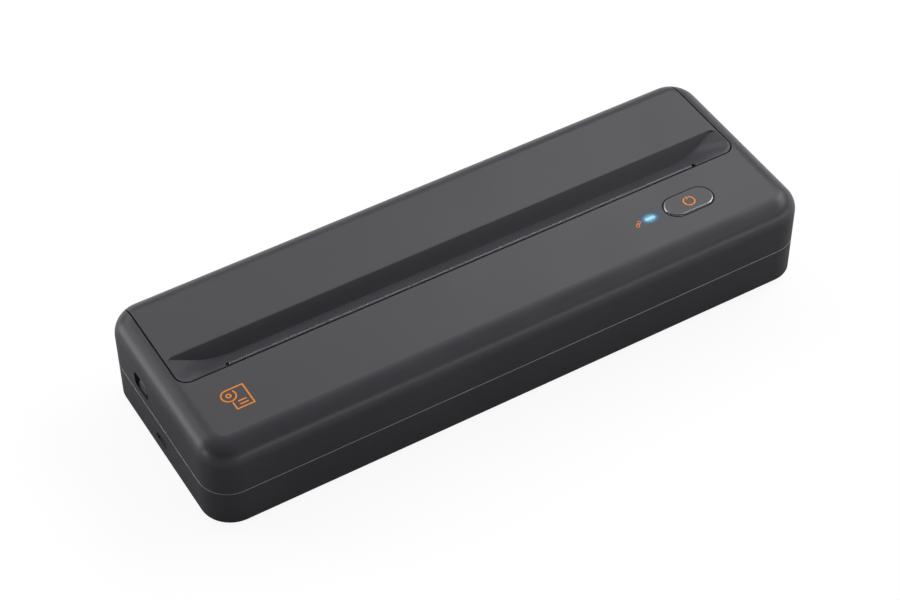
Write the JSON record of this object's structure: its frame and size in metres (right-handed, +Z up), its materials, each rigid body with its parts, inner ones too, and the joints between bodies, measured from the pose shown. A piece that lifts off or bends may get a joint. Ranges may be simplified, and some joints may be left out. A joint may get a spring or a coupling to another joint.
{
  "type": "portable thermal printer",
  "caption": "Flat A4 portable thermal printer: rounded casing, rear-hinged cover with hipped paper recess and toothed tear edge, geared platen, print head, side release and power button.",
  "frame": {"origin": "middle of the footprint, on the surface that the feet stand on", "axes": "+X along the printing width to the right, -Y the front edge, +Z up"},
  "size_m": [0.272, 0.093, 0.0428],
  "materials": {
    "casing": "fine matt texture",
    "black_plastic": "satin moulded",
    "slider_plastic": "matt",
    "button_plastic": "matt with bright edge",
    "light_guide": "lit blue",
    "steel": "satin",
    "dark_steel": "black",
    "aluminium": "extruded",
    "ceramic": "glazed",
    "platen_rubber": "ground",
    "foot_rubber": "matt",
    "gear_plastic": "natural acetal",
    "bushing_plastic": "acetal",
    "pcb": "solder mask",
    "chips": "moulded",
    "cell_wrap": "shrink wrap",
    "led": "moulded",
    "brass": "turned"
  },
  "bodies": {
    "casing": {"base_shell": "casing", "upper_shell": "casing", "hinge_pins": "steel", "idler_axle": "steel", "stepper_motor": "steel", "motor_screws": "dark_steel", "gear_plate": "steel", "head_pivot_pins": "steel", "head_springs": "steel", "head_bracket": "steel", "paper_tray": "black_plastic", "paper_sensor": "chips", "release_spring": "steel", "power_switch": "chips", "status_light_guide": "light_guide", "status_led": "led", "button_board": "pcb", "main_board": "pcb", "board_components": "chips", "usb_c_shell": "steel", "usb_c_tongue": "chips", "usb_board": "pcb", "battery_cells": "cell_wrap", "casing_screws": "dark_steel", "rubber_feet": "foot_rubber"},
    "cover": {"top_cover": "casing", "cover_frame": "black_plastic", "tear_bar": "dark_steel", "platen_bushings": "bushing_plastic"},
    "platen": {"platen_shaft": "steel", "platen_roller": "platen_rubber", "platen_gear": "gear_plastic"},
    "idler": {"idler_gear": "gear_plastic"},
    "pinion": {"motor_pinion": "brass", "motor_shaft": "steel"},
    "print_head": {"print_head_board": "ceramic", "heat_sink": "aluminium"},
    "slider": {"release_slider": "slider_plastic"},
    "latch": {"latch_bar": "black_plastic"},
    "button": {"power_button": "button_plastic"}
  },
  "joints": [
    {"name": "cover_hinge", "type": "hinge", "parent": "casing", "child": "cover", "pos_m": [0, 0.041, 0.035], "axis": [-1, 0, 0], "range_deg": [0, 95]},
    {"name": "platen_spin", "type": "hinge", "parent": "cover", "child": "platen", "pos_m": [0, 0.001, 0.028], "axis": [1, 0, 0], "continuous": true},
    {"name": "idler_spin", "type": "hinge", "parent": "casing", "child": "idler", "pos_m": [0.117, 0.00272, 0.01815], "axis": [1, 0, 0], "continuous": true},
    {"name": "pinion_spin", "type": "hinge", "parent": "casing", "child": "pinion", "pos_m": [0.119, -0.00965, 0.01415], "axis": [1, 0, 0], "continuous": true},
    {"name": "head_rock", "type": "hinge", "parent": "casing", "child": "print_head", "pos_m": [0, -0.00363, 0.01591], "axis": [1, 0, 0], "range_deg": [0, 1.5], "stiffness_Nm_per_rad": 2},
    {"name": "release_slide", "type": "slide", "parent": "casing", "child": "slider", "axis": [0, 1, 0], "range_m": [0, 0.003], "stiffness_N_per_m": 300, "deforming": ["release_spring"]},
    {"name": "latch_turn", "type": "hinge", "parent": "casing", "child": "latch", "pos_m": [0, 0.011, 0.006], "axis": [-1, 0, 0], "range_deg": [0, 8.57]},
    {"name": "power_press", "type": "slide", "parent": "casing", "child": "button", "axis": [0, 0, -1], "range_m": [0, 0.0006], "stiffness_N_per_m": 800}
  ],
  "couplings": [
    {"joint": "idler_spin", "follows": "platen_spin", "ratio": -1.5},
    {"joint": "pinion_spin", "follows": "platen_spin", "ratio": 5},
    {"joint": "latch_turn", "follows": "release_slide", "rad_per_m": 46.948}
  ]
}
